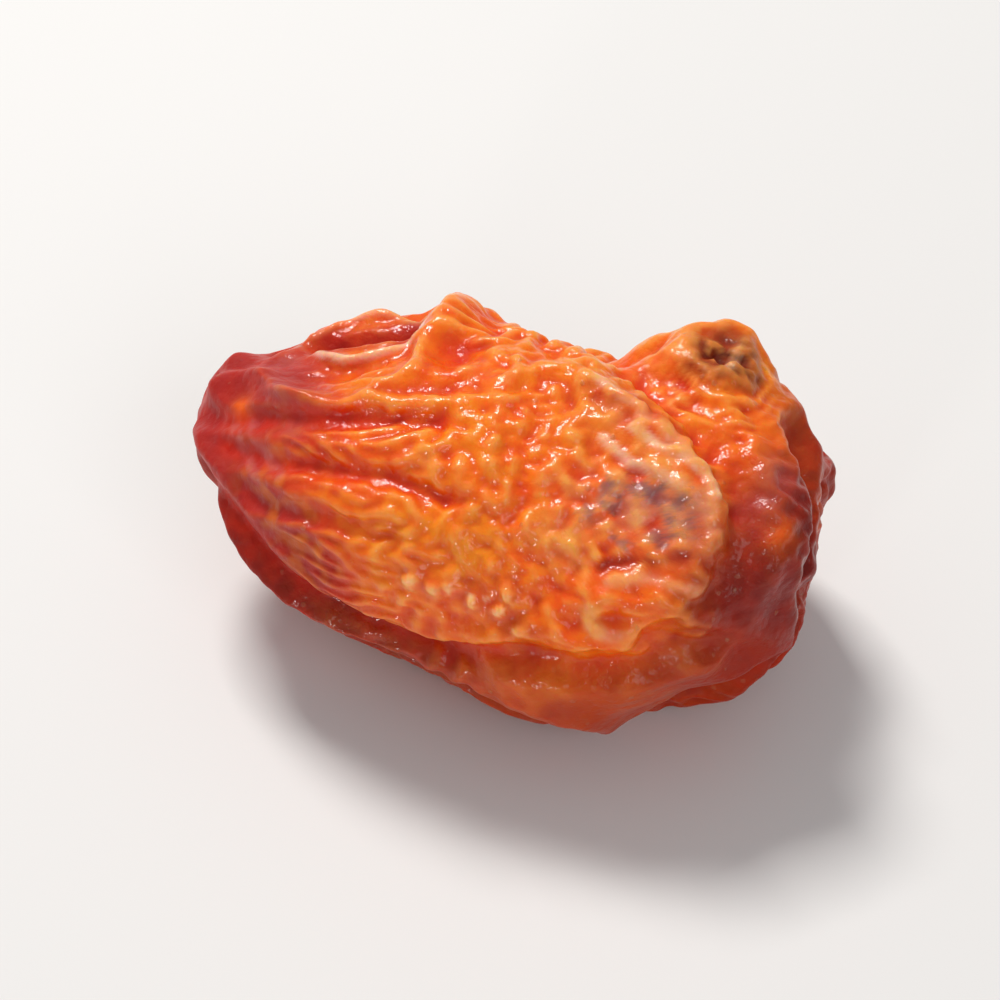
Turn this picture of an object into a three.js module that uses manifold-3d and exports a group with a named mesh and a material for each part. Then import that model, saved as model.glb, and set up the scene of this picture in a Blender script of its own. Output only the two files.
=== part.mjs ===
// A dried sea buckthorn berry: one whole fruit, shrunken and wrinkled, lying on its side.
// Millimetres, +Z up. The long axis runs along X, with the pointed tip at -X and the blunt stalk end at +X.
// The origin is under the middle of the berry, on the surface that it lies on.
import * as THREE from "three";
import { mergeVertices } from "three/addons/utils/BufferGeometryUtils.js";
import Module from "manifold-3d";

// Driving dimensions of the smooth body, before the skin is folded.
const LENGTH = 10.5;
const WIDTH = 6.7;
const HEIGHT = 5.9;
const TIP_SHAPE = [2, 0.72]; // powers of the girth's fall to the tip; an ellipsoid has 2 and 0.5
const STALK_SHAPE = [3.6, 0.3]; // powers of its fall to the stalk end, which is blunter
const TIP_RISE = 0.62; // how far the tip turns up from the axis
const TIP_TURN = 0.5; // how far the tip turns back, to +Y

// The side that the berry dried on is pressed flat, this far up from its lowest point.
const PRESSED = 0.4;

const MESH_DETAIL = 23; // the ball under the skin has this many cuts in each edge of its icosahedron
const PATH_STEPS = 16; // straight pieces that a fold's path is measured in
const BANK_OFFSET = 1.7; // distance of a fold's banks from its middle, in fold widths
const DEGREE = Math.PI / 180;

// A place on the skin is [along, around]. Along runs from -1 at the tip to 1 at the stalk end. Around is in
// degrees from the top, positive towards the front at -Y, so 90 is the front and 180 the underside.

// A furrow is a valley in the skin between two low banks. Its bank is a share of its depth.
const furrow = (depth, width, bank, ...path) => ({ depth, width, bank, path });
const FURROWS = [
  // the curled cup behind the tip, open to the back
  furrow(0.68, 0.38, 0.3, [-0.74, -42], [-0.65, -12], [-0.55, 0], [-0.45, -4], [-0.37, -24], [-0.34, -46]),
  // lengthwise furrows of the tip half, which draw together at the tip
  furrow(0.05, 0.2, 0.4, [-0.84, 12], [-0.6, 11], [-0.35, 8], [-0.1, 4]),
  furrow(0.09, 0.22, 0.4, [-0.92, 34], [-0.6, 25], [-0.35, 20], [-0.12, 18]),
  furrow(0.09, 0.22, 0.4, [-0.88, 52], [-0.5, 40], [-0.25, 37], [-0.05, 40]),
  furrow(0.05, 0.2, 0.4, [-0.72, 64], [-0.45, 56], [-0.2, 54]),
  furrow(0.16, 0.22, 0.4, [-0.86, 84], [-0.6, 91], [-0.35, 94], [-0.08, 93], [0.14, 86]),
  // the hollow that parts the shoulder from the stalk end
  furrow(0.2, 0.36, 0.2, [0.3, -24], [0.52, -8], [0.7, 8], [0.81, 28], [0.81, 52], [0.88, 92]),
  // the crease under the rim of the front
  furrow(0.36, 0.34, 0.5, [-0.9, 106], [-0.5, 117], [-0.15, 117], [0.16, 116], [0.34, 124]),
  // the crease over the belly
  furrow(0.22, 0.26, 0.4, [0.2, 84], [0.42, 84], [0.62, 74], [0.78, 78]),
  // the back
  furrow(0.36, 0.34, 0.4, [0.34, -30], [0.1, -44], [-0.1, -64], [-0.5, -66], [-0.86, -70]),
  furrow(0.44, 0.4, 0.4, [0.92, -50], [0.5, -66], [0.2, -80], [-0.2, -90], [-0.7, -86]),
  furrow(0.38, 0.36, 0.4, [0.94, -80], [0.4, -104], [0, -112], [-0.5, -114], [-0.9, -104]),
  furrow(0.3, 0.34, 0.4, [0.8, -122], [0.2, -134], [-0.3, -140], [-0.84, -138]),
  // the underside
  furrow(0.3, 0.34, 0.3, [0.94, 120], [0.5, 138], [0.1, 140], [-0.4, 138], [-0.86, 134]),
  furrow(0.34, 0.3, 0.2, [0.96, -170], [0.4, -190], [-0.1, -182], [-0.6, -188], [-0.9, -180]),
  // the puckered stalk end
  furrow(0.3, 0.28, 0.4, [0.9, -20], [0.97, 0], [0.99, 60]),
  furrow(0.26, 0.26, 0.4, [0.88, 150], [0.97, 140], [0.995, 90]),
  furrow(0.26, 0.26, 0.4, [0.9, -145], [0.975, -130], [0.995, -100]),
];

// A ridge stands up from the skin along its path.
const RIDGES = [
  // the shoulder, which turns down round the front of the stalk half
  { rise: 0.17, width: 0.36, path: [[0.2, -8], [0.42, 4], [0.6, 17], [0.69, 28], [0.69, 46], [0.62, 56]] },
  // the near lip of the cup, and the thin far lip that stands up behind it
  { rise: 0.22, width: 0.22, path: [[-0.74, -16], [-0.67, 6], [-0.57, 16], [-0.46, 13], [-0.37, -2]] },
  { rise: 0.1, width: 0.24, path: [[-0.76, -54], [-0.64, -45], [-0.54, -43], [-0.44, -46]] },
  // two smooth welts below the shoulder
  { rise: 0.22, width: 0.22, path: [[0.38, 62], [0.52, 59], [0.66, 60]] },
  { rise: 0.14, width: 0.2, path: [[0.3, 70], [0.42, 75], [0.54, 71]] },
  // the low wall across the top
  { rise: 0.07, width: 0.26, path: [[0.02, -30], [0.06, -8], [0.04, 16], [0.06, 34]] },
  // the rim that the front turns under
  { rise: 0.1, width: 0.3, path: [[-0.84, 97], [-0.5, 103], [-0.2, 103], [0.02, 101], [0.22, 99]] },
];

// A dent is a round hollow in the skin. A negative depth makes a swelling.
const DENTS = [
  { depth: -0.45, radius: 0.8, at: [-0.3, -40] }, // the peak over the cup
  { depth: -0.32, radius: 0.32, at: [-0.9, 2] }, // the nub beside the tip
  { depth: 0.3, radius: 0.42, at: [-0.19, -12] }, // the pocket under the peak
  { depth: 0.3, radius: 1.0, at: [-0.56, -54] }, // the low skin behind the cup
  { depth: 0.65, radius: 1.15, at: [0.2, -48] }, // the saddle of the top
  { depth: -0.6, radius: 0.9, at: [0.6, -38] }, // the mound round the stalk scar
  { depth: 0.08, radius: 0.7, at: [0.46, 36] }, // the plateau inside the shoulder
  { depth: -0.3, radius: 1.3, at: [0.36, 106] }, // the belly
  { depth: 0.6, radius: 1.7, at: [-0.2, 118] }, // the sunken flank on its tip side
  { depth: 0.5, radius: 1.2, at: [0.76, 122] }, // and on its stalk side
  { depth: 0.2, radius: 0.45, at: [0.94, 66] }, // the dimple of the stalk end
  { depth: -0.3, radius: 1.0, at: [0.92, 34] }, // the full skin beside it
  { depth: 0.5, radius: 1.3, at: [-0.2, -104] }, // two hollows of the back
  { depth: 0.4, radius: 1.1, at: [0.62, -86] },
];

// The stalk came away from a small pit, with a puckered ring of skin round it.
const SCAR = { at: [0.62, -25], depth: 0.3, radius: 0.26, ringRise: 0.14, ringRadius: 0.5, ringWidth: 0.17 };

// How the girth of the body falls from 1 at the middle to 0 at each end.
function girth(along) {
  const [inner, outer] = along < 0 ? TIP_SHAPE : STALK_SHAPE;
  return Math.max(0, 1 - Math.abs(along) ** inner) ** outer;
}

function bodyPoint(along, around) {
  const angle = around * DEGREE;
  const toTip = Math.max(0, -along) ** 2;
  return new THREE.Vector3(
    (LENGTH / 2) * along,
    -(WIDTH / 2) * girth(along) * Math.sin(angle) + TIP_TURN * toTip,
    (HEIGHT / 2) * girth(along) * Math.cos(angle) + TIP_RISE * toTip,
  );
}

function outward(point) {
  const scaled = [point.x / LENGTH ** 2, point.y / WIDTH ** 2, point.z / HEIGHT ** 2];
  return new THREE.Vector3(...scaled).normalize();
}

// The straight pieces of a path, laid on the body.
function laidOut(path) {
  const corners = path.map(([along, around]) => new THREE.Vector3(along, around, 0));
  const places = new THREE.CatmullRomCurve3(corners).getPoints(PATH_STEPS);
  const points = places.map((place) => bodyPoint(place.x, place.y));
  return points.slice(1).map((end, i) => new THREE.Line3(points[i], end));
}

function distanceTo(pieces, point) {
  const nearest = new THREE.Vector3();
  const distances = pieces.map((piece) => piece.closestPointToPoint(point, true, nearest).distanceTo(point));
  return Math.min(...distances);
}

const hump = (share) => Math.exp(-share * share);

const furrows = FURROWS.map((furrow) => ({ ...furrow, pieces: laidOut(furrow.path) }));
const ridges = RIDGES.map((ridge) => ({ ...ridge, pieces: laidOut(ridge.path) }));
const dents = DENTS.map((dent) => ({ ...dent, centre: bodyPoint(...dent.at) }));
const scarCentre = bodyPoint(...SCAR.at);

// How far the folds move the skin outwards at a point of the body.
function rise(point) {
  let height = 0;
  for (const { pieces, depth, width, bank } of furrows) {
    const share = distanceTo(pieces, point) / width;
    height += depth * (bank * hump(share - BANK_OFFSET) - hump(share));
  }
  for (const ridge of ridges) height += ridge.rise * hump(distanceTo(ridge.pieces, point) / ridge.width);
  for (const dent of dents) height -= dent.depth * hump(point.distanceTo(dent.centre) / dent.radius);
  const fromScar = point.distanceTo(scarCentre);
  height += SCAR.ringRise * hump((fromScar - SCAR.ringRadius) / SCAR.ringWidth);
  height -= SCAR.depth * hump(fromScar / SCAR.radius);
  return height;
}

function foldedSkin() {
  const ball = new THREE.IcosahedronGeometry(1, MESH_DETAIL);
  ball.deleteAttribute("normal");
  ball.deleteAttribute("uv");
  const geometry = mergeVertices(ball);
  const position = geometry.getAttribute("position");
  const onBall = new THREE.Vector3();
  for (let i = 0; i < position.count; i++) {
    onBall.fromBufferAttribute(position, i);
    const point = bodyPoint(onBall.x, Math.atan2(-onBall.y, onBall.z) / DEGREE);
    point.addScaledVector(outward(point), rise(point));
    position.setXYZ(i, point.x, point.y, point.z);
  }
  return geometry;
}

const wasm = await Module();
wasm.setup();

function toSolid(geometry) {
  const vertProperties = new Float32Array(geometry.getAttribute("position").array);
  const triVerts = new Uint32Array(geometry.getIndex().array);
  return new wasm.Manifold(new wasm.Mesh({ numProp: 3, vertProperties, triVerts }));
}

function toGeometry(solid) {
  const mesh = solid.getMesh();
  const geometry = new THREE.BufferGeometry();
  geometry.setAttribute("position", new THREE.BufferAttribute(mesh.vertProperties, 3));
  geometry.setIndex(new THREE.BufferAttribute(mesh.triVerts, 1));
  return geometry;
}

// The block that takes off what lies below the pressed face of the skin.
function blockUnder(geometry) {
  geometry.computeBoundingBox();
  const { min, max } = geometry.boundingBox;
  const size = new THREE.Vector3().subVectors(max, min).addScalar(2);
  const block = new THREE.BoxGeometry(size.x, size.y, size.z);
  block.deleteAttribute("normal");
  block.deleteAttribute("uv");
  block.translate((min.x + max.x) / 2, (min.y + max.y) / 2, min.z + PRESSED - size.z / 2);
  return mergeVertices(block);
}

const skin = foldedSkin();
const geometry = toGeometry(toSolid(skin).subtract(toSolid(blockUnder(skin))));
geometry.computeBoundingBox();
const { min, max } = geometry.boundingBox;
geometry.translate(-(min.x + max.x) / 2, -(min.y + max.y) / 2, -min.z);
geometry.computeVertexNormals();

const dried = new THREE.MeshStandardMaterial({ color: 0xc2562c, roughness: 0.35, metalness: 0 });
const berry = new THREE.Mesh(geometry, dried);
berry.name = "berry";

const root = new THREE.Group();
root.name = "dried sea buckthorn berry";
root.add(berry);
export default root;
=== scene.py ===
# %% [markdown]
# # A dried sea buckthorn berry
#
# The real thing is a fruit about a centimetre long. It was plump and orange on the bush, and its pulp
# has since dried to a fraction of its bulk. Its skin did not shrink with it, so it lies in folds, as it
# does on a raisin. This lesson makes the berry that way too: a smooth skin is laid over the packed
# model, and then a small simulation lets it buckle over the shrunken pulp. The model is in metres, and
# the simulation works in millimetres.

import math

import bmesh
import bpy
import numpy as np
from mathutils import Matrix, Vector, noise
from mathutils.bvhtree import BVHTree


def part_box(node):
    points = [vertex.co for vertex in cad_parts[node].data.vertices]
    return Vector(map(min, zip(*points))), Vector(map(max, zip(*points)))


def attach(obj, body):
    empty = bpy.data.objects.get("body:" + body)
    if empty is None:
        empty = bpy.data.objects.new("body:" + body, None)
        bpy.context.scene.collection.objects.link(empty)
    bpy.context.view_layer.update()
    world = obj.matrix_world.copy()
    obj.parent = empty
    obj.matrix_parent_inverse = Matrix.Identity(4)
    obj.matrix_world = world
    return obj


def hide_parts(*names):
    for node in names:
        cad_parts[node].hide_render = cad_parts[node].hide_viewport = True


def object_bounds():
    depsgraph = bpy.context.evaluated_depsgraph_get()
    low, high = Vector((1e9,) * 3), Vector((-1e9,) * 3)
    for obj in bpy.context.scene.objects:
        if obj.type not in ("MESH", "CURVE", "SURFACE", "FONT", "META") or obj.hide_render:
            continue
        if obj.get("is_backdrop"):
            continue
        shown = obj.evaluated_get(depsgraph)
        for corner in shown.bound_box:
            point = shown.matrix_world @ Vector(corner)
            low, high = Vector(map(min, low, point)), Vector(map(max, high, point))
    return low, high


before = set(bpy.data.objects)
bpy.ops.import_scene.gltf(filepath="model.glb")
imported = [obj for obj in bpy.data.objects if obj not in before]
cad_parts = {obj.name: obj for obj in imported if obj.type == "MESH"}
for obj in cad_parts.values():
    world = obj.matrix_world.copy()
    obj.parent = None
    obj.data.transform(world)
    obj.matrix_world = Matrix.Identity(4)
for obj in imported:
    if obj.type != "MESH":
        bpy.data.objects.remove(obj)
cad_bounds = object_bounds()
MM = 0.001
packed_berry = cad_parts["berry"]
low, high = (np.array(corner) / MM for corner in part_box("berry"))
centre = (low + high) / 2
half_size = (high - low) / 2
print("packed berry, mm:", (high - low).round(2))

# %% [markdown]
# ## The camera
#
# Small things are best seen from far off through a long lens, so that the near end is hardly larger
# than the far one. The camera looks down at 45 degrees, a little round towards the stalk end, and aims
# at the berry's middle.

# %% Camera
AZIMUTH = math.radians(13)
ELEVATION = math.radians(45)
LENS = 100.0
SENSOR = 36.0
VIEW_WIDTH = 16.4 * MM  # the width that fills the picture, at the berry

towards_camera = Vector((
    math.sin(AZIMUTH) * math.cos(ELEVATION),
    -math.cos(AZIMUTH) * math.cos(ELEVATION),
    math.sin(ELEVATION),
))
aim = Vector(centre * MM)
camera_data = bpy.data.cameras.new("camera")
camera_data.lens = LENS
camera_data.sensor_width = SENSOR
camera_data.clip_start = 0.001
camera = bpy.data.objects.new("camera", camera_data)
camera.location = aim + towards_camera * (VIEW_WIDTH * LENS / SENSOR)
camera.rotation_euler = (-towards_camera).to_track_quat("-Z", "Y").to_euler()
bpy.context.scene.collection.objects.link(camera)
bpy.context.scene.camera = camera
print("camera is", round((camera.location - aim).length / MM, 1), "mm away")

# %% [markdown]
# ## Floor and light
#
# The berry lies on a plain pale surface in soft studio light. One large lamp behind it and to its left
# skims over the folds, as a window would, and leaves a highlight on each crest. A weaker one in front
# opens the shadows, and a small low one adds a glint. The lamps' sizes are given in berry lengths,
# because what softens a shadow is how large the lamp looks from there.

# %% Floor
def plain_material(name, colour, roughness):
    material = bpy.data.materials.new(name)
    material.use_nodes = True
    shader = material.node_tree.nodes["Principled BSDF"]
    shader.inputs["Base Color"].default_value = (*colour, 1)
    shader.inputs["Roughness"].default_value = roughness
    return material


FLOOR_SIZE = 400 * MM
FLOOR_COLOUR = (0.82, 0.81, 0.80)
bpy.ops.mesh.primitive_plane_add(size=FLOOR_SIZE)
floor = bpy.context.object
floor.name = "floor"
floor.data.materials.append(plain_material("pale table", FLOOR_COLOUR, roughness=0.7))
floor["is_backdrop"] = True
print("floor laid, mm:", round(FLOOR_SIZE / MM))

# %% Lamps and world
LENGTH_M = (high - low)[0] * MM


def soft_lamp(name, azimuth, elevation, distance, size, watts, colour):
    """A square lamp that faces the berry. Distance and size are in berry lengths."""
    round_by, up_by = math.radians(azimuth), math.radians(elevation)
    direction = Vector((
        math.sin(round_by) * math.cos(up_by),
        -math.cos(round_by) * math.cos(up_by),
        math.sin(up_by),
    ))
    lamp = bpy.data.lights.new(name, "AREA")
    lamp.size = size * LENGTH_M
    lamp.energy = watts
    lamp.color = colour
    holder = bpy.data.objects.new(name, lamp)
    holder.location = aim + direction * distance * LENGTH_M
    holder.rotation_euler = (-direction).to_track_quat("-Z", "Y").to_euler()
    bpy.context.scene.collection.objects.link(holder)


WARM_WHITE, COOL_WHITE, WHITE = (1.0, 0.98, 0.95), (0.95, 0.97, 1.0), (1.0, 1.0, 1.0)
soft_lamp("window", azimuth=-140, elevation=58, distance=14, size=4, watts=0.18, colour=WARM_WHITE)
soft_lamp("fill", azimuth=40, elevation=35, distance=16, size=8, watts=0.06, colour=COOL_WHITE)
soft_lamp("glint", azimuth=-12, elevation=10, distance=14, size=1.6, watts=0.03, colour=WHITE)

world = bpy.data.worlds.new("studio")
bpy.context.scene.world = world
world.use_nodes = True
background = world.node_tree.nodes["Background"]
background.inputs["Color"].default_value = (*WHITE, 1)
background.inputs["Strength"].default_value = 0.3
bpy.context.scene.view_settings.view_transform = "Standard"

# %% [markdown]
# ## A net for the skin
#
# A fruit's skin has no corners and no poles, so its mesh should have none either. A ball made from a
# cube keeps even, four-sided cells all over, which fold the same way everywhere. A UV sphere would
# crowd its faces at the two ends, just where the finest creases run together.

# %% Ball of four-sided cells
CELLS_PER_SIDE = 64


def ball_of_quads(cells):
    """The points of a ball of radius 1 made from a cube, and its faces as four point numbers each."""
    mesh = bmesh.new()
    bmesh.ops.create_cube(mesh, size=2)
    bmesh.ops.subdivide_edges(mesh, edges=mesh.edges[:], cuts=cells - 1, use_grid_fill=True)
    points = np.array([vertex.co for vertex in mesh.verts])
    faces = np.array([[vertex.index for vertex in face.verts] for face in mesh.faces])
    mesh.free()
    points = np.tan(points * math.pi / 4)  # evens out the cells from a side's middle to its corners
    return points / np.linalg.norm(points, axis=1)[:, None], faces


ball, quads = ball_of_quads(CELLS_PER_SIDE)
print("cells:", len(quads))

# %% [markdown]
# ## Laying the net on the berry
#
# Each point of the ball starts well outside the berry and moves straight to the berry's centre until it
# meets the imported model. From outside, the first hit is always the outermost skin, so deep folds are
# bridged and not turned inside out.

# %% Wrap
START_OUTSIDE = 3  # where the rays start, in half sizes of the berry


def wrap(directions):
    tree = BVHTree.FromObject(packed_berry, bpy.context.evaluated_depsgraph_get())
    target = Vector(centre * MM)
    landed = []
    for outside in (centre + directions * half_size * START_OUTSIDE) * MM:
        start = Vector(outside)
        landed.append(tree.ray_cast(start, target - start)[0])
    return np.array(landed) / MM


wrapped = wrap(ball)
print("skin points:", len(wrapped))

# %% [markdown]
# ## Neighbours
#
# Stretching, bending and smoothing all ask the same question: where are this point's neighbours? So
# each point gets a row with its neighbours' numbers. Rows that are too short are filled with the point
# itself, and a mask says which entries count. With such a table, numpy moves every point at once.

# %% Neighbour table
def neighbours(count, pairs):
    both = np.concatenate([pairs, pairs[:, ::-1]])
    both = both[np.argsort(both[:, 0], kind="stable")]
    first = np.searchsorted(both[:, 0], np.arange(count))
    most = np.bincount(both[:, 0]).max()
    table = np.repeat(np.arange(count)[:, None], most, axis=1)
    table[both[:, 0], np.arange(len(both)) - first[both[:, 0]]] = both[:, 1]
    return table, table != np.arange(count)[:, None]


class Net:
    """Who is next to whom on the skin: along the threads alone, and with the diagonals of each cell."""

    def __init__(self, quads):
        self.quads = quads
        self.count = quads.max() + 1
        threads = np.concatenate([quads[:, [k, (k + 1) % 4]] for k in range(4)])
        threads = np.unique(np.sort(threads, axis=1), axis=0)
        diagonals = np.concatenate([quads[:, [0, 2]], quads[:, [1, 3]]])
        self.near, mask = neighbours(self.count, threads)
        self.near_share = mask / mask.sum(1)[:, None]
        self.all_round, self.counts = neighbours(self.count, np.concatenate([threads, diagonals]))
        self.round_share = self.counts / self.counts.sum(1)[:, None]

    def bulge(self, values):
        """How far the neighbours' mean lies from each point."""
        return np.einsum("nk,nkc->nc", self.near_share, values[self.near]) - values

    def smooth(self, values, passes):
        flat = values.reshape(self.count, -1)
        for _ in range(passes):
            flat = flat + 0.5 * self.bulge(flat)
        return flat.reshape(values.shape)

    def normals(self, points):
        corners = points[self.quads]
        across = np.cross(corners[:, 2] - corners[:, 0], corners[:, 3] - corners[:, 1])
        total = np.zeros_like(points)
        for k in range(4):
            for axis in range(3):
                total[:, axis] += np.bincount(self.quads[:, k], across[:, axis], minlength=self.count)
        return total / np.linalg.norm(total, axis=1)[:, None]


net = Net(quads)
print("neighbours of a point:", net.all_round.shape[1], "at most")

# %% [markdown]
# ## Where things are on the berry
#
# A berry has no edges to measure from, so every place on it is given the way a place on a globe is.
# Along runs from -1 at the pointed tip to 1 at the stalk end. Around is in degrees from the top,
# positive towards the front, so 90 is the front and 180 the underside. The berry's long axis bends up
# and back at the tip, and the same two numbers bend the net of places with it. A path is laid down by
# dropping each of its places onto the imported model.

# %% Places and paths
AXIS = np.array([-0.084, 0.022, 2.594])  # where the middle of the long axis is, in mm
BODY = np.array([5.25, 3.35, 2.95])  # half length, half width and half height of the unwrinkled berry
TIP_TURN = 0.5  # how far the tip turns back
TIP_RISE = 0.62  # and up
MEAN_RADIUS = 3.1
OPEN = 9  # an edge beyond every value there is
packed_tree = BVHTree.FromObject(packed_berry, bpy.context.evaluated_depsgraph_get())


def bent_axis(along):
    """The middle of the berry at each place along it."""
    to_tip = np.maximum(0, -along) ** 2
    return AXIS + np.stack([BODY[0] * along, TIP_TURN * to_tip, TIP_RISE * to_tip], axis=-1)


def on_skin(along, around):
    """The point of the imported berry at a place, in mm."""
    angle = math.radians(around)
    middle = bent_axis(np.array(along))
    outwards = Vector((0, -BODY[1] * math.sin(angle), BODY[2] * math.cos(angle)))
    start = Vector(middle) + 2 * outwards  # well outside
    hit = packed_tree.ray_cast(start * MM, -outwards)[0]
    return np.array(hit if hit else Vector(middle) * MM) / MM


def path_points(places, step=0.08):
    """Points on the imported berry, this step apart in mm, along a path through these places."""
    knots = np.array(places, dtype=float)
    spans = np.linalg.norm(np.diff([on_skin(*knot) for knot in knots], axis=0), axis=1)
    at = np.concatenate([[0], np.cumsum(spans)])
    wanted = np.linspace(0, at[-1], max(2, int(at[-1] / step)))
    return np.array([
        on_skin(np.interp(w, at, knots[:, 0]), np.interp(w, at, knots[:, 1])) for w in wanted
    ])


print("peak of the berry, mm:", on_skin(-0.3, -40).round(2))

# %% [markdown]
# Most of what follows is painted or raised beside a path, so these are the tools for it: the distance
# to a path, a hump that falls off with distance, a band between two values, and slow noise.

# %% Distances and masks
def distance_to(points, others):
    """Each point's distance to the nearest of the others, in mm."""
    nearest = np.full(len(points), np.inf)
    for other in others:
        nearest = np.minimum(nearest, np.linalg.norm(points - other, axis=1))
    return nearest


def hump(share):
    return np.exp(-share * share)


def places_of(points):
    """Along and around for any points near the skin."""
    along = np.clip((points[:, 0] - AXIS[0]) / BODY[0], -1, 1)
    out = points - bent_axis(along)
    around = np.degrees(np.arctan2(-out[:, 1] / BODY[1], out[:, 2] / BODY[2]))
    return along, around


def map_distance(points, places, steps=12):
    """Distance in mm to a path through these places, over the map and so whatever the height."""
    along, around = places_of(points)
    nearest = np.full(len(points), np.inf)
    knots = np.array(places, dtype=float)
    for first, last in zip(knots[:-1], knots[1:]):
        for share in np.linspace(0, 1, steps):
            at_along, at_around = first + (last - first) * share
            girth = MEAN_RADIUS * math.sqrt(max(0.1, 1 - at_along ** 2))
            off = np.hypot((along - at_along) * BODY[0], np.radians(around - at_around) * girth)
            nearest = np.minimum(nearest, off)
    return nearest


def band(values, low_edge, high_edge, blur):
    """1 between two values, falling to 0 outside them. With OPEN for an edge, that side is open."""
    return 1 / (1 + np.exp((low_edge - values) / blur)) / (1 + np.exp((values - high_edge) / blur))


def cloudy(points, size, seed):
    """Slow variation from -1 to 1, with patches of this size in mm. The same seed gives the same."""
    offset = Vector((7.3, 3.1, 5.7)) * seed
    return np.array([noise.noise(Vector(point) / size + offset) for point in points])


print("hump at 0, 1 and 2 widths:", hump(np.arange(3)).round(2))

# %% [markdown]
# ## The pulp
#
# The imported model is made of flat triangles. Eight rounds of averaging with the neighbours take the
# edges off them and leave its folds alone. This smooth body stands for the shrunken pulp: the skin lies
# on it, and pulls away from it where it buckles. The side that the berry lies on stays flat, so nothing
# goes below the table.

# %% Smooth pulp
PULP_SMOOTHING = 8
SKIN_DEPTH = 0.06  # the skin will lift off the pulp by about this much
pulp = net.smooth(wrapped, PULP_SMOOTHING)
pulp -= SKIN_DEPTH * net.normals(pulp)
print("pulp, mm:", (pulp.max(0) - pulp.min(0)).round(2))

# %% [markdown]
# ## Lips, creases and welts
#
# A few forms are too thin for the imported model's triangles: the two lips of the curled cup behind the
# tip, the red creases that run out from the tip, the beads and the curled welt above the belly, the
# pleats along the shoulder, and the pit where the stalk came away. Each is a path, a row of places or
# a ring, and the pulp rises or sinks beside it by a smooth hump of the distance. Before that, the
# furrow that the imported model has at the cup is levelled, because its triangles are too coarse there.

# %% Paths of the thin forms
CUP_AREA = [(-0.76, -26), (-0.62, -12), (-0.5, 2), (-0.42, -6), (-0.45, -20), (-0.6, -30), (-0.42, -30)]
CUP_LIP = [(-0.68, -34), (-0.61, -23), (-0.57, -17), (-0.5, -13),
           (-0.43, -14), (-0.36, -16), (-0.3, -20), (-0.28, -28)]
FAR_LIP = [(-0.64, -41), (-0.58, -45), (-0.52, -46), (-0.45, -45), (-0.38, -43), (-0.31, -38)]
CUP_FLOOR = [(-0.6, -32), (-0.53, -30), (-0.45, -30), (-0.38, -31), (-0.34, -33)]
CUP_CORNER = [(-0.72, -30), (-0.67, -38)]
RED_CREASES = [[(-0.9, 34), (-0.6, 24), (-0.35, 19), (-0.12, 17)],
               [(-0.82, 50), (-0.5, 40), (-0.25, 37), (-0.02, 40)],
               [(-0.86, 84), (-0.6, 91), (-0.35, 94), (-0.08, 93), (0.14, 86)],
               [(-0.5, 12), (-0.3, 9), (-0.12, 5)]]
WELT = [(0.71, 54), (0.58, 52), (0.46, 55)]
CURL = [(0.41, 63), (0.42, 68), (0.48, 71), (0.55, 69)]
BEADS = [(-0.12, 65), (-0.05, 67), (0, 65), (0.06, 68), (0.11, 66), (0.17, 63), (0.15, 70), (0.21, 74)]
SHOULDER = [(0.45, 6), (0.57, 12), (0.66, 17), (0.7, 24), (0.71, 34)]
PLEATS = [[(0.44, 10), (0.52, 14), (0.60, 16), (0.67, 19), (0.71, 26)],
          [(0.36, 14), (0.45, 20), (0.54, 22), (0.61, 25)],
          [(0.3, -4), (0.38, 1), (0.45, 3)]]
SCAR = on_skin(0.65, -26)
SCAR_RIB = [(0.69, -32), (0.68, -25), (0.66, -17)]
SCAR_RING, OUTER_RING = 0.42, 0.78  # radii in mm
LIP_ENDS = -0.58, -0.31  # along the berry
CUP_REACH = 0.75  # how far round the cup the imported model's own furrow is levelled, in mm
LEVELLING = 100  # rounds of averaging with the neighbours

crease_lines = [path_points(path) for path in RED_CREASES]
welt_line = np.concatenate([path_points(WELT), path_points(CURL)])
bead_points = [on_skin(*bead) for bead in BEADS]
shoulder_line = path_points(SHOULDER)
rib_line = path_points(SCAR_RIB)
print("points on the crease paths:", [len(line) for line in crease_lines])


# %% Thin forms
def lip_taper(points):
    """1 along the middle of a lip, down to 0 at its ends."""
    return band(places_of(points)[0], *LIP_ENDS, 0.06)


def distance_to_scar(points):
    """In mm, and ragged, so that the rings round the scar are no true circles."""
    return np.linalg.norm(points - SCAR, axis=1) + 0.14 * cloudy(points, 0.35, 12)


levelled = hump((map_distance(pulp, CUP_AREA) / CUP_REACH) ** 4)[:, None]
pulp += levelled * (net.smooth(pulp, LEVELLING) - pulp)
ground = pulp.copy()
outward = net.normals(pulp)
height = 0.13 * hump(map_distance(pulp, CUP_LIP) / 0.12) * lip_taper(pulp)
# each path with its rise and its half width, in mm
for path, rise, width in (FAR_LIP, 0.10, 0.13), (CUP_FLOOR, -0.36, 0.22), (CUP_CORNER, 0.15, 0.35):
    height += rise * hump(map_distance(pulp, path) / width)
lines = [(line, -0.05, 0.1) for line in crease_lines]
for line, rise, width in [*lines, (welt_line, 0.11, 0.11), (bead_points, 0.05, 0.2)]:
    height += rise * hump(distance_to(pulp, line) / width)
from_scar = distance_to_scar(pulp)
height += 0.13 * hump((from_scar - SCAR_RING) / 0.14) * (0.7 + 0.9 * cloudy(pulp, 0.4, 11))
height += 0.10 * hump((from_scar - OUTER_RING) / 0.12) * (0.5 + cloudy(pulp, 0.7, 13))
height += 0.14 * hump(from_scar / 0.3)
pulp += net.smooth(height, 1)[:, None] * outward
pulp[:, 2] = np.maximum(pulp[:, 2], 0)
print("formed by, mm:", height.min().round(2), "to", height.max().round(2))

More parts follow.
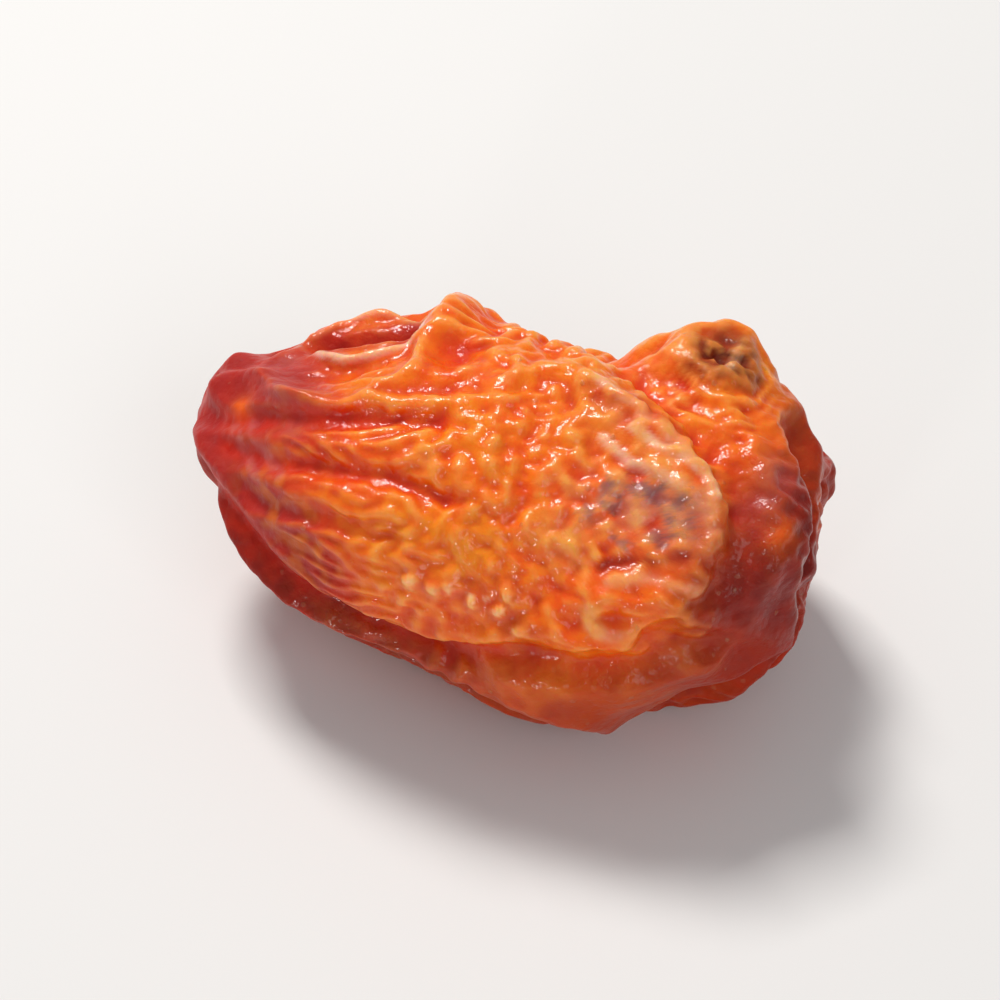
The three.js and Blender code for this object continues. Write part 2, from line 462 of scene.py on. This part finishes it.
# %% [markdown]
# ## How a skin wrinkles
#
# Three things settle the size of a wrinkle. The skin has more area than the pulp beneath it, so it is
# squeezed and wants to buckle. It resists bending, so it won't fold too finely. The pulp holds on to
# it, both against being lifted off and against being pushed in. Soft pulp yields more inwards, and so
# the large folds get deep valleys. Under the fine creases it yields more outwards, and they get narrow
# crests. The loop below moves each point a little along the sum of these pulls, a few hundred times,
# until the skin is nearly at rest. Blender's cloth could do it too, but at this size its settings are
# far outside their usual range, and these few lines give the same folds at every run.

# %% Drying
MOMENTUM = 0.9
RATE = 0.6


def lengthwise(normals, turn):
    """Unit directions in the skin: along the berry and round it, turned about the normal."""
    along = np.array([1.0, 0, 0]) - normals * normals[:, :1]
    along /= np.linalg.norm(along, axis=1)[:, None] + 1e-6
    across = np.cross(normals, along)
    cosine, sine = np.cos(turn)[:, None], np.sin(turn)[:, None]
    return along * cosine + across * sine, across * cosine - along * sine


def dry(net, pulp, spare_along, spare_across, turn, stiffness,
        lift_hold, push_hold, slide_hold, rounds, start):
    """The skin at rest on the pulp. Spare is how much longer the skin is than the pulp beneath it."""
    normals = net.normals(pulp)
    along, across = lengthwise(normals, turn)
    reach = pulp[net.all_round] - pulp[:, None]
    length = np.linalg.norm(reach, axis=2)
    unit = reach / np.where(net.counts, length, 1)[..., None]
    share_along = np.einsum("nkc,nc->nk", unit, along) ** 2
    share_across = np.einsum("nkc,nc->nk", unit, across) ** 2
    rest = length * (1 + spare_along[:, None] * share_along + spare_across[:, None] * share_across)
    unbent = net.bulge(pulp)
    skin = pulp + normals * start[:, None]
    speed = np.zeros_like(skin)
    for _ in range(rounds):
        reach = skin[net.all_round] - skin[:, None]
        now = np.sqrt(np.einsum("nkc,nkc->nk", reach, reach))
        squeeze = net.round_share * (1 - rest / np.where(net.counts, now, 1))
        pull = np.einsum("nk,nkc->nc", squeeze, reach)
        bend = stiffness * net.bulge(net.bulge(skin) - unbent)
        off = skin - pulp
        lift = np.einsum("nc,nc->n", off, normals)
        hold = np.where(lift < 0, push_hold, lift_hold) * lift
        slide = slide_hold * (off - normals * lift[:, None])
        speed = MOMENTUM * speed + RATE * (pull - bend - normals * hold[:, None] - slide)
        skin = skin + speed
        skin[:, 2] = np.maximum(skin[:, 2], 0)
    return skin


print("ready to dry", net.count, "points")

# %% [markdown]
# ## The large folds
#
# On the half with the pointed tip the folds run lengthwise, because a berry loses girth before it loses
# length. At the blunt stalk end the skin is gathered from all sides, and the folds turn and branch. The
# belly stays full and smooth, and so does the very tip. So the spare length across the berry is large
# where it is wrinkled, and the spare length along it grows towards the stalk.

# %% How much the skin folds at each place
def slackness(points):
    """1 where the skin is wrinkled, down to 0.15 where it lies smooth."""
    along, around = places_of(points)
    # the parts that stay smooth: where the middle of each is, and how far it reaches
    full_belly = hump((along - 0.55) / 0.36) * hump((around - 100) / 26)
    tip = hump((along + 1) / 0.26)
    cup = hump(map_distance(points, CUP_FLOOR) / 0.5)
    formed = hump(distance_to(points, [*bead_points, *welt_line[::3]]) / 0.3)
    scar_ring = hump((np.linalg.norm(points - SCAR, axis=1) - SCAR_RING) / 0.25)
    stalk_end = band(along, 0.74, OPEN, 0.05) * band(around, -40, 110, 9)
    taut = 0.8 * full_belly + 0.45 * tip + 0.5 * scar_ring + 0.6 * cup + 0.4 * formed + 0.35 * stalk_end
    return np.clip(1 - taut, 0.15, 1)


def towards_stalk(points):
    """0 near the tip, rising to 1 a little past the middle."""
    return np.clip(1.2 * places_of(points)[0] + 0.8, 0, 1)


def lengthwise_at_tip(points):
    """How freely the folds may turn: hardly at the tip, where they all run lengthwise."""
    return 0.25 + 0.75 * towards_stalk(points)


def at_back(points):
    """1 on the back and the underside, down to 0 on the top and the front."""
    return 1 - band(places_of(points)[1], -70, 140, 15)


def flat_top(points, stalk_side, back_side, front_side):
    """1 on the flat part of the top, which folds less than the rest."""
    along, around = places_of(points)
    return band(along, -0.05, stalk_side, 0.05) * band(around, back_side, front_side, 6)


print("mean slackness:", slackness(pulp).mean().round(2))

# %% First drying: folds of about 0.7 mm
patches = cloudy(pulp, 1.3, 1)
random = np.random.default_rng(5)
plateau = flat_top(pulp, 0.7, -15, 75)
slack = slackness(pulp) * (1 - 0.5 * plateau)
gathered = slack * (0.01 + 0.08 * towards_stalk(pulp)) * (1 + 0.8 * patches)
gathered *= 1 - 0.5 * at_back(pulp)
skin = dry(
    net,
    pulp,
    spare_along=gathered,
    spare_across=slack * 0.10 * (1 + 0.8 * patches),
    turn=1.6 * cloudy(pulp, 1.3, 2) * lengthwise_at_tip(pulp),
    stiffness=0.45,
    lift_hold=0.012,
    push_hold=0.005,
    slide_hold=0.01,
    rounds=220,
    start=0.05 * cloudy(pulp, 0.5, 20) + 0.01 * random.standard_normal(net.count),
)
print("lifted by up to", round(float(np.linalg.norm(skin - pulp, axis=1).max()), 2), "mm")

# %% [markdown]
# ## The fine creases
#
# Between the large folds the skin has a second, finer set of creases, like the crinkles of thin foil.
# The mesh is divided once more with Blender's subdivision surface, the folded skin becomes the new body
# to lie on, and the same drying runs again with a softer skin.

# %% Finer mesh
def mesh_object(name, points, quads):
    mesh = bpy.data.meshes.new(name)
    mesh.from_pydata(points.tolist(), [], quads.tolist())
    mesh.update()
    made = bpy.data.objects.new(name, mesh)
    bpy.context.scene.collection.objects.link(made)
    return made


def divided(points, quads):
    """Each cell becomes four, on the rounded surface that a subdivision modifier gives."""
    rough = mesh_object("rough", points, quads)
    rounding = rough.modifiers.new("rounding", "SUBSURF")
    rounding.levels = 1
    fine = rough.evaluated_get(bpy.context.evaluated_depsgraph_get()).to_mesh()
    fine_points = np.empty(3 * len(fine.vertices))
    fine_quads = np.empty(4 * len(fine.polygons), dtype=np.int64)
    fine.vertices.foreach_get("co", fine_points)
    fine.polygons.foreach_get("vertices", fine_quads)
    bpy.data.objects.remove(rough)
    return fine_points.reshape(-1, 3), fine_quads.reshape(-1, 4)


under = divided(ground, quads)[0]
folded, quads = divided(skin, quads)
net = Net(quads)
print("cells:", len(quads))

# %% Second drying: creases of about 0.3 mm
patches = cloudy(folded, 1.3, 3)
plateau = flat_top(folded, 0.75, -20, 78)
slack = slackness(folded) * (1 - 0.45 * plateau)
gathered = slack * (0.01 + 0.14 * towards_stalk(folded)) * (1 + 0.6 * patches)
gathered *= 1 - 0.5 * at_back(folded)
bed = net.smooth(folded, 4)
skin = dry(
    net,
    bed,
    spare_along=gathered,
    spare_across=slack * 0.16 * (1 + 0.5 * patches),
    turn=1.8 * cloudy(folded, 0.8, 4) * lengthwise_at_tip(folded),
    stiffness=0.3,
    lift_hold=0.006,
    push_hold=0.02,
    slide_hold=0.01,
    rounds=200,
    start=0.05 * cloudy(folded, 0.24, 21) + 0.01 * random.standard_normal(net.count),
)
print("lifted by up to", round(float(np.linalg.norm(skin - bed, axis=1).max()), 2), "mm")

# %% [markdown]
# ## Crests, beads and pebbles
#
# The sharpest forms need the fine net. Each point still knows where it lay on the pulp before anything
# rose, so the same paths can be found again: the thin edges of the two lips, the small tight beads
# above the belly, the pleats along the shoulder, the crumpled scar and the arcs round it. Soft pebbles
# of a quarter of a millimetre break up the folds on the flat part of the top.

# %% How far each point is from the fine forms
from_lip, from_far = map_distance(under, CUP_LIP), map_distance(under, FAR_LIP)
from_welt, from_beads = distance_to(under, welt_line), distance_to(under, bead_points)
from_beads = np.maximum(from_beads + 0.09 * cloudy(under, 0.15, 38), 0)
from_cup = map_distance(under, CUP_FLOOR)
from_pleats = np.min([map_distance(under, path) for path in PLEATS], axis=0)
from_rib = distance_to(under, rib_line)
from_scar = distance_to_scar(under)
in_scar = hump((from_scar / 0.52) ** 2)
print("nearest to the lip, mm:", from_lip.min().round(3))

# %% Fine forms
ARC_SPACING = 0.25
arcs = band(from_scar, 0.62, 1.3, 0.1) * band(places_of(under)[1], -22, 30, 8)
ragged_scar = from_scar + 0.16 * cloudy(under, 0.6, 37)
arcs *= np.cos(ragged_scar * 2 * np.pi / ARC_SPACING) * (0.8 + cloudy(under, 0.5, 39))
top_pebbles = cloudy(under, 0.3, 30) + 0.45 * cloudy(under, 0.16, 31)
relief = 0.10 * plateau * top_pebbles + 0.03 * slackness(folded) * top_pebbles
relief += 0.13 * hump(from_beads / 0.1) * (1 + 1.2 * cloudy(under, 0.2, 33))
relief += 0.10 * cloudy(under, 0.9, 32) * (1 - slackness(folded))
taper = lip_taper(under)
relief += taper * 0.06 * hump(from_lip / 0.06) + 0.05 * hump(from_far / 0.06)
relief += 0.045 * arcs + 0.07 * hump(from_pleats / 0.07)
in_cup = hump((from_cup / 0.4) ** 2)
relief += in_cup * (0.02 * cloudy(under, 0.2, 40) + 0.07 * cloudy(under, 0.6, 41))
relief += in_scar * (0.18 * cloudy(under, 0.17, 17) + 0.14 * hump(from_rib / 0.08))
skin = skin + net.smooth(relief, 1)[:, None] * net.normals(skin)
skin[:, 2] = np.maximum(skin[:, 2], 0)
print("fine forms, mm:", relief.min().round(2), "to", relief.max().round(2))

# %% [markdown]
# ## Reading the folds
#
# The colour follows the folds, as painted light: a crease gets painted shade, dark and red, and a
# crest a pale painted highlight. So each point gets two numbers: how far it stands above the skin
# averaged over a wide neighbourhood, and over a narrow one.

# %% Height of each point in its fold
def height_over(skin, passes):
    """How far each point stands out from the skin averaged over that many rounds, in mm."""
    return np.einsum("nc,nc->n", skin - net.smooth(skin, passes), net.normals(skin))


broad = height_over(skin, 120)
narrow = height_over(skin, 16)
print("broad folds, mm:", np.percentile(broad, [2, 50, 98]).round(3))
print("fine folds, mm:", np.percentile(narrow, [2, 50, 98]).round(3))

# %% [markdown]
# ## Painting the skin
#
# Ripe pulp is orange with a yellow cast where it lies thick under the skin. Drying turns it red first
# in the creases and at the two ends, and at the stalk end it goes on to crimson and a purple brown. The
# colours are laid one over another on the points of the net, as washes are in a painting, each with a
# mask that says where it goes. Slow noise moves the edges of the masks, so that no border is a straight
# line.

# %% Washes of colour
ORANGE = (0.95, 0.16, 0.004)
YELLOW = (0.98, 0.32, 0.008)
RED = (0.74, 0.035, 0.004)
TIP_ROSE = (0.42, 0.022, 0.018)
CRIMSON = (0.34, 0.014, 0.005)
PURPLE = (0.19, 0.008, 0.005)
SHADE_BROWN = (0.40, 0.032, 0.003)
RIM_SHADE = (0.23, 0.009, 0.003)
SCAR_BROWN = (0.28, 0.036, 0.007)
SCAR_DARK = (0.12, 0.018, 0.006)
PEACH = (0.97, 0.44, 0.09)
MAUVE_SHEEN = (0.45, 0.10, 0.10)
DULL_ORANGE = (0.68, 0.20, 0.05)

along, around = places_of(skin)
colour = np.tile(np.array(ORANGE), (net.count, 1))


def wash(new, share):
    """Lays a colour over the others where the share is above 0."""
    share = np.clip(share, 0, 1)[:, None]
    colour[:] = colour * (1 - share) + np.array(new) * share


slow = cloudy(skin, 1.6, 7)
mottle = cloudy(skin, 0.7, 8)
streaks = cloudy(skin * np.array([0.3, 1, 1]), 0.45, 9)
shifted = along + 0.14 * slow
wash(YELLOW, 0.45 * band(slow + 0.5 * mottle, 0.1, OPEN, 0.12))
PATCHES = [  # colour, along, around, size in mm, strength
    (YELLOW, -0.38, 4, 0.55, 0.7),
    (YELLOW, -0.24, 50, 0.5, 0.8),
    (YELLOW, 0.02, 52, 0.5, 0.8),
    (YELLOW, 0.4, 20, 0.25, 0.8),
    (YELLOW, 0.54, 19, 0.25, 0.8),
    (YELLOW, 0.68, -42, 0.3, 0.9),
    (YELLOW, 0.78, -28, 0.3, 0.9),
    (YELLOW, 0.32, 91, 0.35, 0.6),
    (YELLOW, 0.14, 86, 0.3, 0.5),
    (DULL_ORANGE, 0.36, 2, 0.6, 0.6),
    (PEACH, 0.3, 44, 0.4, 0.5),
    (RED, -0.1, -14, 0.4, 0.6),
    (RED, -0.25, 34, 0.4, 0.4),
]
for patch_colour, at_along, at_around, size, strength in PATCHES:
    from_patch = np.linalg.norm(under - on_skin(at_along, at_around), axis=1)
    wash(patch_colour, strength * hump((from_patch + 0.25 * mottle) / size))
print("mean colour:", colour.mean(0).round(3))

# %% The two ends and the belly
wash(RED, 0.42 * band(shifted, -0.85, -0.1, 0.08) * band(streaks, 0.1, OPEN, 0.08))
tip_edge = shifted - 0.07 * band(around, -5, 65, 5)
tip_edge = tip_edge - 0.1 * hump((around - 62) / 16) - 0.2 * hump((around - 78) / 20)
wash(RED, 0.8 * band(tip_edge, -OPEN, -0.54, 0.05))
wash(TIP_ROSE, band(tip_edge, -OPEN, -0.64, 0.04))
# painted shade: a dark red band under the front rim, where the berry turns down
wash(RIM_SHADE, 0.9 * band(along, -0.95, 0.1, 0.08) * band(around, 90, 140, 4))
# painted shade: the belly, which faces down, is darkened to brown with a crimson mottle
wash(SHADE_BROWN, 0.85 * band(along, 0.05, 0.95, 0.08) * band(around + 12 * slow, 84, 160, 6))
belly = band(along, 0.05, 0.95, 0.08) * band(around, 84, 160, 6)
wash(CRIMSON, 0.5 * belly * band(mottle + 0.7 * slow, 0.0, OPEN, 0.1))
stalk_edge = shifted - 0.14 * hump((around + 20) / 35) + 0.1 * hump((around - 60) / 25)
stalk_tip = band(stalk_edge, 0.78, OPEN, 0.05)
wash(CRIMSON, stalk_tip)
wash(PURPLE, 0.85 * band(stalk_edge, 0.95, OPEN, 0.04))
print("mean colour:", colour.mean(0).round(3))


# %% Mottle and painted sheen
def spot(points, at_along, at_around, size):
    """1 at a place, falling off round it over this size in mm."""
    return hump(np.linalg.norm(points - on_skin(at_along, at_around), axis=1) / size)


fine_mottle = cloudy(skin, 0.28, 10)
wrinkled = np.clip(1.4 * slackness(skin) - 0.4, 0, 1)
ripe = band(stalk_edge, -0.6, 0.7, 0.06) * band(around, -80, 86, 5)
wash(YELLOW, 0.4 * wrinkled * band(fine_mottle, 0.15, OPEN, 0.1) * ripe)
wash(RED, 0.25 * wrinkled * band(fine_mottle, -OPEN, -0.2, 0.08))
# painted sheen: mauve patches of reflected light on the two ends
SHEEN_SPOTS = [(-0.66, 12, 0.4), (-0.6, 28, 0.3), (-0.7, -15, 0.4), (0.88, 10, 0.35), (0.84, 27, 0.35)]
for sheen_spot in SHEEN_SPOTS:
    wash(MAUVE_SHEEN, 0.65 * spot(skin, *sheen_spot) * band(mottle, -0.3, OPEN, 0.15))
wash(ORANGE, 0.9 * spot(skin, -0.8, 24, 0.24))
wash(ORANGE, 0.6 * spot(skin, 0.93, 33, 0.3))
print("mean colour:", colour.mean(0).round(3))

# %% [markdown]
# The back and the underside get painted shade, a duller and redder orange.

# %% Back and underside
hidden = 1 - band(around, -75, 135, 9)
wash(SHADE_BROWN, 0.6 * hidden)
wash(CRIMSON, 0.45 * hidden * band(mottle, 0.0, OPEN, 0.15))
print("share of the points that face back or down:", hidden.mean().round(2))

# %% [markdown]
# Now the small forms get their own colours: red floors in the creases and the cup, and pale lips,
# welts, pleats and beads. The pale lips, welts, pleats and bead tops are painted highlights, and a
# ring of painted shadow lies round each bead.

# %% Colours of the small forms
CUP_RED = (0.52, 0.016, 0.004)
CUP_ORANGE = (0.80, 0.10, 0.012)
LIP_HIGHLIGHT = (0.97, 0.80, 0.69)
PALE_HIGHLIGHT = (0.88, 0.36, 0.18)
PLEAT_HIGHLIGHT = (0.95, 0.56, 0.36)
BEAD_HIGHLIGHT = (0.98, 0.68, 0.36)
BEAD_SHADOW = (0.66, 0.07, 0.008)
ARC_ROSE = (0.60, 0.17, 0.15)
TIP_ARCS = [[(-0.8, 36), (-0.76, 46), (-0.68, 54)], [(-0.74, 30), (-0.69, 41), (-0.6, 48)]]

for line in crease_lines:
    wash(RED, 0.85 * hump(distance_to(skin, line) / 0.15) * band(mottle, -0.3, OPEN, 0.15))
wash(CUP_RED, hump((from_cup / 0.46) ** 4))
wash(CUP_ORANGE, 0.6 * in_cup * band(cloudy(under, 0.5, 42), 0.0, OPEN, 0.15))
# painted highlight: a pale arc along each lip, broken up by noise
lip_highlight_breaks = np.clip(0.75 + 1.3 * cloudy(under, 0.45, 43), 0.25, 1)
wash(LIP_HIGHLIGHT, lip_highlight_breaks * (0.05 + 0.95 * taper) * hump((from_lip / (0.04 + 0.08 * taper)) ** 2))
wash(LIP_HIGHLIGHT, 0.75 * lip_highlight_breaks * taper * hump((from_far / 0.085) ** 2))
# painted highlight: pale along the welt
wash(PALE_HIGHLIGHT, 0.8 * hump((from_welt / 0.12) ** 2))
# painted shadow in a ring round each bead, and a painted highlight on its top
wash(BEAD_SHADOW, 0.4 * hump((from_beads - 0.18) / 0.08))
wash(BEAD_HIGHLIGHT, 0.9 * hump((from_beads / 0.08) ** 2))
# painted highlight: pale streaks along the pleats
wash(PLEAT_HIGHLIGHT, 0.9 * hump((from_pleats / 0.08) ** 2))
for path in TIP_ARCS:
    on_arc = hump((map_distance(under, path) / 0.12) ** 2)
    wash(ARC_ROSE, 0.6 * on_arc * band(fine_mottle, -0.2, OPEN, 0.15))
# painted highlight: pale blotches along the shoulder ridge
on_shoulder = hump(distance_to(skin, shoulder_line) / 0.3)
wash(PALE_HIGHLIGHT, 0.8 * on_shoulder * band(fine_mottle, -0.05, OPEN, 0.08))
print("mean colour:", colour.mean(0).round(3))

# %% [markdown]
# The top of the berry is the most varied. Pale flecks lie along the shoulder, and dark grey specks
# sit in a greyish painted sheen. A dark red line marks where a fold has closed, and a dark line of
# painted shadow lies above the welt. The scar is corky brown, with a straw-coloured rib.

# %% Flecks, bruises and the scar
PALE_FLECKS = [(0.3, 44, 0.35), (0.39, 51, 0.2), (0.26, 30, 0.2), (0.5, 14, 0.2), (0.59, 15, 0.2),
               (0.66, 16, 0.2), (0.7, 23, 0.2), (0.4, -18, 0.2), (0.46, -22, 0.15), (0.25, -12, 0.2),
               (0.52, 38, 0.2), (0.42, 65, 0.2), (-0.13, -8, 0.16), (-0.06, -2, 0.14),
               (-0.14, 30, 0.16), (-0.3, 17, 0.2)]
for fleck in PALE_FLECKS:
    wash(PEACH, 0.75 * spot(skin, *fleck) * band(fine_mottle, -0.1, OPEN, 0.1))

SPECK_GREY = (0.33, 0.155, 0.15)
GREY_SHEEN = (0.62, 0.31, 0.20)
SPECKS = [(0.4, 29, 0.13), (0.5, 27, 0.15), (0.53, 29, 0.12), (0.6, 30, 0.12), (0.62, 36, 0.14),
          (0.57, 41, 0.12), (0.42, 34, 0.09), (0.34, 37, 0.08), (0.47, 44, 0.09)]
SPECK_LENGTH = 0.02
from_specks = [map_distance(under, [(a, b), (a + SPECK_LENGTH, b)]) / size for a, b, size in SPECKS]
near_specks = hump(map_distance(under, [(0.4, 31), (0.62, 34)]) / 0.45)
speck_edge = cloudy(under, 0.13, 18)
# painted sheen: a greyish wash round the specks
wash(GREY_SHEEN, 0.6 * near_specks * band(fine_mottle, -0.3, OPEN, 0.1))
for off in from_specks:
    wash(SPECK_GREY, 0.75 * hump((off + 1.3 * speck_edge) ** 2))

CLOSED_FOLD = (0.62, 0.03, 0.005), [(0.31, 1), (0.44, 1), (0.53, 6), (0.62, 6)]
# painted shadow: the dark line above the welt
WELT_SHADOW = (0.45, 0.02, 0.004), [(0.44, 51), (0.56, 48), (0.66, 45)]
for (shade, path), strength in (CLOSED_FOLD, 0.7), (WELT_SHADOW, 0.8):
    wash(shade, strength * hump(map_distance(under, path) / 0.1))

SCAR_STRAW = (0.86, 0.55, 0.30)
scar_mottle = cloudy(under, 0.15, 17)
wash(SCAR_BROWN, 0.9 * hump(((from_scar + 0.1 * mottle) / 0.66) ** 3))
wash(SCAR_DARK, 0.8 * in_scar * band(scar_mottle, -OPEN, -0.1, 0.06))
wash(SCAR_STRAW, 0.85 * in_scar * hump((from_rib / 0.08) ** 2))
# painted highlight on the crest of each arc round the scar, and painted shade in the hollows between
wash(PEACH, 0.6 * np.clip(arcs, 0, 1))
wash(RED, 0.2 * np.clip(-arcs, 0, 1))
wash(YELLOW, 0.8 * spot(under, 0.78, -33, 0.2))
print("mean colour:", colour.mean(0).round(3))

# %% [markdown]
# Last come the folds themselves, in painted light. A crest that faces the lamps gets a pale painted
# highlight. A crease gets painted shade, dark and red, as light that gets into it has to cross the
# pulp more than once before it comes out.

# %% Crests and creases
CREASE_SHADE = np.array([0.84, 0.22, 0.3])
in_view_of_sun = band(along, -0.6, 0.72, 0.08) * band(around, -90, 90, 6)
# painted highlight: pale peach on the crests that face the lamps
wash(PEACH, 0.6 * np.clip(narrow / 0.03 - 0.2, 0, 1) * in_view_of_sun)
# painted shade: creases darkened and reddened
deep = np.clip(-broad / 0.16, 0, 1) * 0.6 + np.clip(-narrow / 0.04, 0, 1) * (0.6 - 0.2 * plateau)
colour *= 1 - np.clip(deep, 0, 1)[:, None] * (1 - CREASE_SHADE)
print("mean colour:", colour.mean(0).round(3))

# %% The berry's own object
berry = mesh_object("berry_skin", skin * MM, quads)
berry.data.shade_smooth()
paint = berry.data.attributes.new("skin_colour", "FLOAT_COLOR", "POINT")
opaque = np.column_stack([np.clip(colour, 0, 1), np.ones(net.count)])
paint.data.foreach_set("color", opaque.ravel().astype(np.float32))


def store(name, values):
    """Keeps one number for each point, for the material to read by name."""
    layer = berry.data.attributes.new(name, "FLOAT", "POINT")
    layer.data.foreach_set("value", values.astype(np.float32))


tip_end = band(shifted, -OPEN, -0.6, 0.05)
dull = 0.25 * np.clip(-narrow / 0.04, 0, 1) + 0.5 * in_scar + 0.3 * tip_end
store("dullness", np.clip(dull, 0, 1))
wet = 0.5 - 0.3 * tip_end - 0.4 * in_scar - 0.2 * hidden - 0.22 * stalk_tip - 0.25 * belly
wet += 0.5 * hump(from_beads / 0.2) + 0.3 * hump(from_lip / 0.15)
store("wetness", np.clip(wet, 0.05, 1))
scaly = 0.06 + 0.3 * near_specks + 0.15 * band(along, 0.7, OPEN, 0.05)
store("scaly", np.clip(scaly, 0, 1))
print("triangles:", 2 * len(quads))

# %% [markdown]
# ## The skin's material
#
# A dried sea buckthorn skin is a thin, oily, see-through film on dense orange pulp. Light goes in,
# wanders and comes out again redder, which is what subsurface scattering does. The red travels
# furthest, so the radius is largest for red. Over the painted colour come three things too fine for the
# net: a mottle of a tenth of a millimetre, the skin's own micro-creases as a bump, and the flat silvery
# scales that a sea buckthorn carries all over.

# %% Material: shader and painted colour
RIPE_PULP_SCATTER = (1.0, 0.25, 0.08)  # how far red, green and blue travel, compared with each other
SCATTER_DEPTH = 0.16 * MM
skin_material = bpy.data.materials.new("dried skin")
skin_material.use_nodes = True
nodes = skin_material.node_tree.nodes
links = skin_material.node_tree.links
shader = nodes["Principled BSDF"]
shader.inputs["IOR"].default_value = 1.45
shader.inputs["Subsurface Weight"].default_value = 1.0
shader.inputs["Subsurface Radius"].default_value = RIPE_PULP_SCATTER
shader.inputs["Subsurface Scale"].default_value = SCATTER_DEPTH
shader.inputs["Coat Roughness"].default_value = 0.1
shader.inputs["Specular IOR Level"].default_value = 0.15


def node(kind, **settings):
    made = nodes.new("ShaderNode" + kind)
    for name, value in settings.items():
        if hasattr(made, name):
            setattr(made, name, value)
        else:
            made.inputs[name.replace("_", " ")].default_value = value
    return made


def attribute(name):
    return node("Attribute", attribute_name=name)


def remap(source, *limits):
    """Turns the range between the first two limits into the range between the last two."""
    made = node("MapRange")
    for name, limit in zip(("From Min", "From Max", "To Min", "To Max"), limits):
        made.inputs[name].default_value = limit
    links.new(source, made.inputs["Value"])
    return made.outputs[0]


def blend(kind, share, first, second):
    """Mixes two colours. The share is a socket or a number, and so the second may be a colour."""
    made = node("Mix", data_type="RGBA", blend_type=kind)
    for socket, value in ((made.inputs[0], share), (made.inputs[6], first), (made.inputs[7], second)):
        if hasattr(value, "is_linked"):
            links.new(value, socket)
        else:
            socket.default_value = value
    return made.outputs[2]


place = node("TexCoord").outputs["Object"]
painted = attribute("skin_colour").outputs["Color"]
GRAIN_SIZE = 0.28 * MM
GRAIN_TINT = (0.86, 0.55, 0.5, 1)
grain = node("TexNoise", Scale=1 / GRAIN_SIZE, Detail=4.0, Roughness=0.6)
links.new(place, grain.inputs["Vector"])
grain_share = remap(grain.outputs["Fac"], 0.35, 0.68, 0.0, 0.35)
grained = blend("MULTIPLY", grain_share, painted, GRAIN_TINT)
print("colour nodes:", len(nodes))

# %% Material: scales
SCALE_SPACING = 0.22 * MM
SCALE_COLOUR = (0.45, 0.20, 0.10, 1)


def pushed_by(noise_node, push):
    """The place on the skin, shifted by a noise, so that round cells come out ragged."""
    made = node("VectorMath", operation="MULTIPLY_ADD")
    links.new(noise_node.outputs["Color"], made.inputs[0])
    made.inputs[1].default_value = (push,) * 3
    links.new(place, made.inputs[2])
    return made.outputs[0]


ragged = node("TexNoise", Scale=1 / (0.07 * MM), Detail=1.0)
links.new(place, ragged.inputs["Vector"])
cells = node("TexVoronoi", Scale=1 / SCALE_SPACING, Randomness=1.0)
links.new(pushed_by(ragged, 0.05 * MM), cells.inputs["Vector"])
scale_shape = remap(cells.outputs["Distance"], 0.13, 0.24, 1.0, 0.0)
scale_chance = node("SeparateColor")
links.new(cells.outputs["Color"], scale_chance.inputs[0])
chance = node("Math", operation="LESS_THAN")
links.new(scale_chance.outputs[0], chance.inputs[0])
links.new(attribute("scaly").outputs["Fac"], chance.inputs[1])
scales = node("Math", operation="MULTIPLY")
links.new(scale_shape, scales.inputs[0])
links.new(chance.outputs[0], scales.inputs[1])
scale_share = remap(scales.outputs[0], 0.0, 1.0, 0.0, 0.28)
with_scales = blend("MIX", scale_share, grained, SCALE_COLOUR)
links.new(with_scales, shader.inputs["Base Color"])
print("nodes with the scales:", len(nodes))

# %% Material: gloss
links.new(attribute("wetness").outputs["Fac"], shader.inputs["Coat Weight"])
dull_base = remap(attribute("dullness").outputs["Fac"], 0.0, 1.0, 0.30, 0.85)
gloss_noise = node("TexNoise", Scale=1 / (0.5 * MM), Detail=2.0)
links.new(place, gloss_noise.inputs["Vector"])


def times_plus(socket, factor, added):
    """One socket times a number, plus another socket."""
    made = node("Math", operation="MULTIPLY_ADD")
    links.new(socket, made.inputs[0])
    made.inputs[1].default_value = factor
    links.new(added, made.inputs[2])
    return made.outputs[0]


links.new(times_plus(gloss_noise.outputs["Fac"], 0.16, dull_base), shader.inputs["Roughness"])
print("nodes with the gloss:", len(nodes))

# %% Material: bump
PEBBLE_SIZE = 0.17 * MM
BUMP_DEPTH = 0.018 * MM
crinkle = node("TexNoise", Scale=1 / (0.13 * MM), Detail=2.0, Roughness=0.6)
links.new(place, crinkle.inputs["Vector"])
pebbles = node("TexVoronoi", Scale=1 / PEBBLE_SIZE)
links.new(pushed_by(crinkle, 0.08 * MM), pebbles.inputs["Vector"])
rough_skin = times_plus(pebbles.outputs["Distance"], -1.0, crinkle.outputs["Fac"])
uneven = node("Bump", Strength=1.0, Distance=BUMP_DEPTH)
links.new(times_plus(scales.outputs[0], 0.5, rough_skin), uneven.inputs["Height"])
for socket in ("Normal", "Coat Normal"):
    links.new(uneven.outputs["Normal"], shader.inputs[socket])
berry.data.materials.append(skin_material)
print("nodes:", len(nodes))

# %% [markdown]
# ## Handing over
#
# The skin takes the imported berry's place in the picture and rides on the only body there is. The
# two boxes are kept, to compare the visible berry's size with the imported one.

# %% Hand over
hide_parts("berry")
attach(berry, "root")
seen_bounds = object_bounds()
for name, corners in ("packed", cad_bounds), ("seen", seen_bounds):
    print(name, "mm:", np.subtract(corners[1], corners[0]).round(5) / MM)
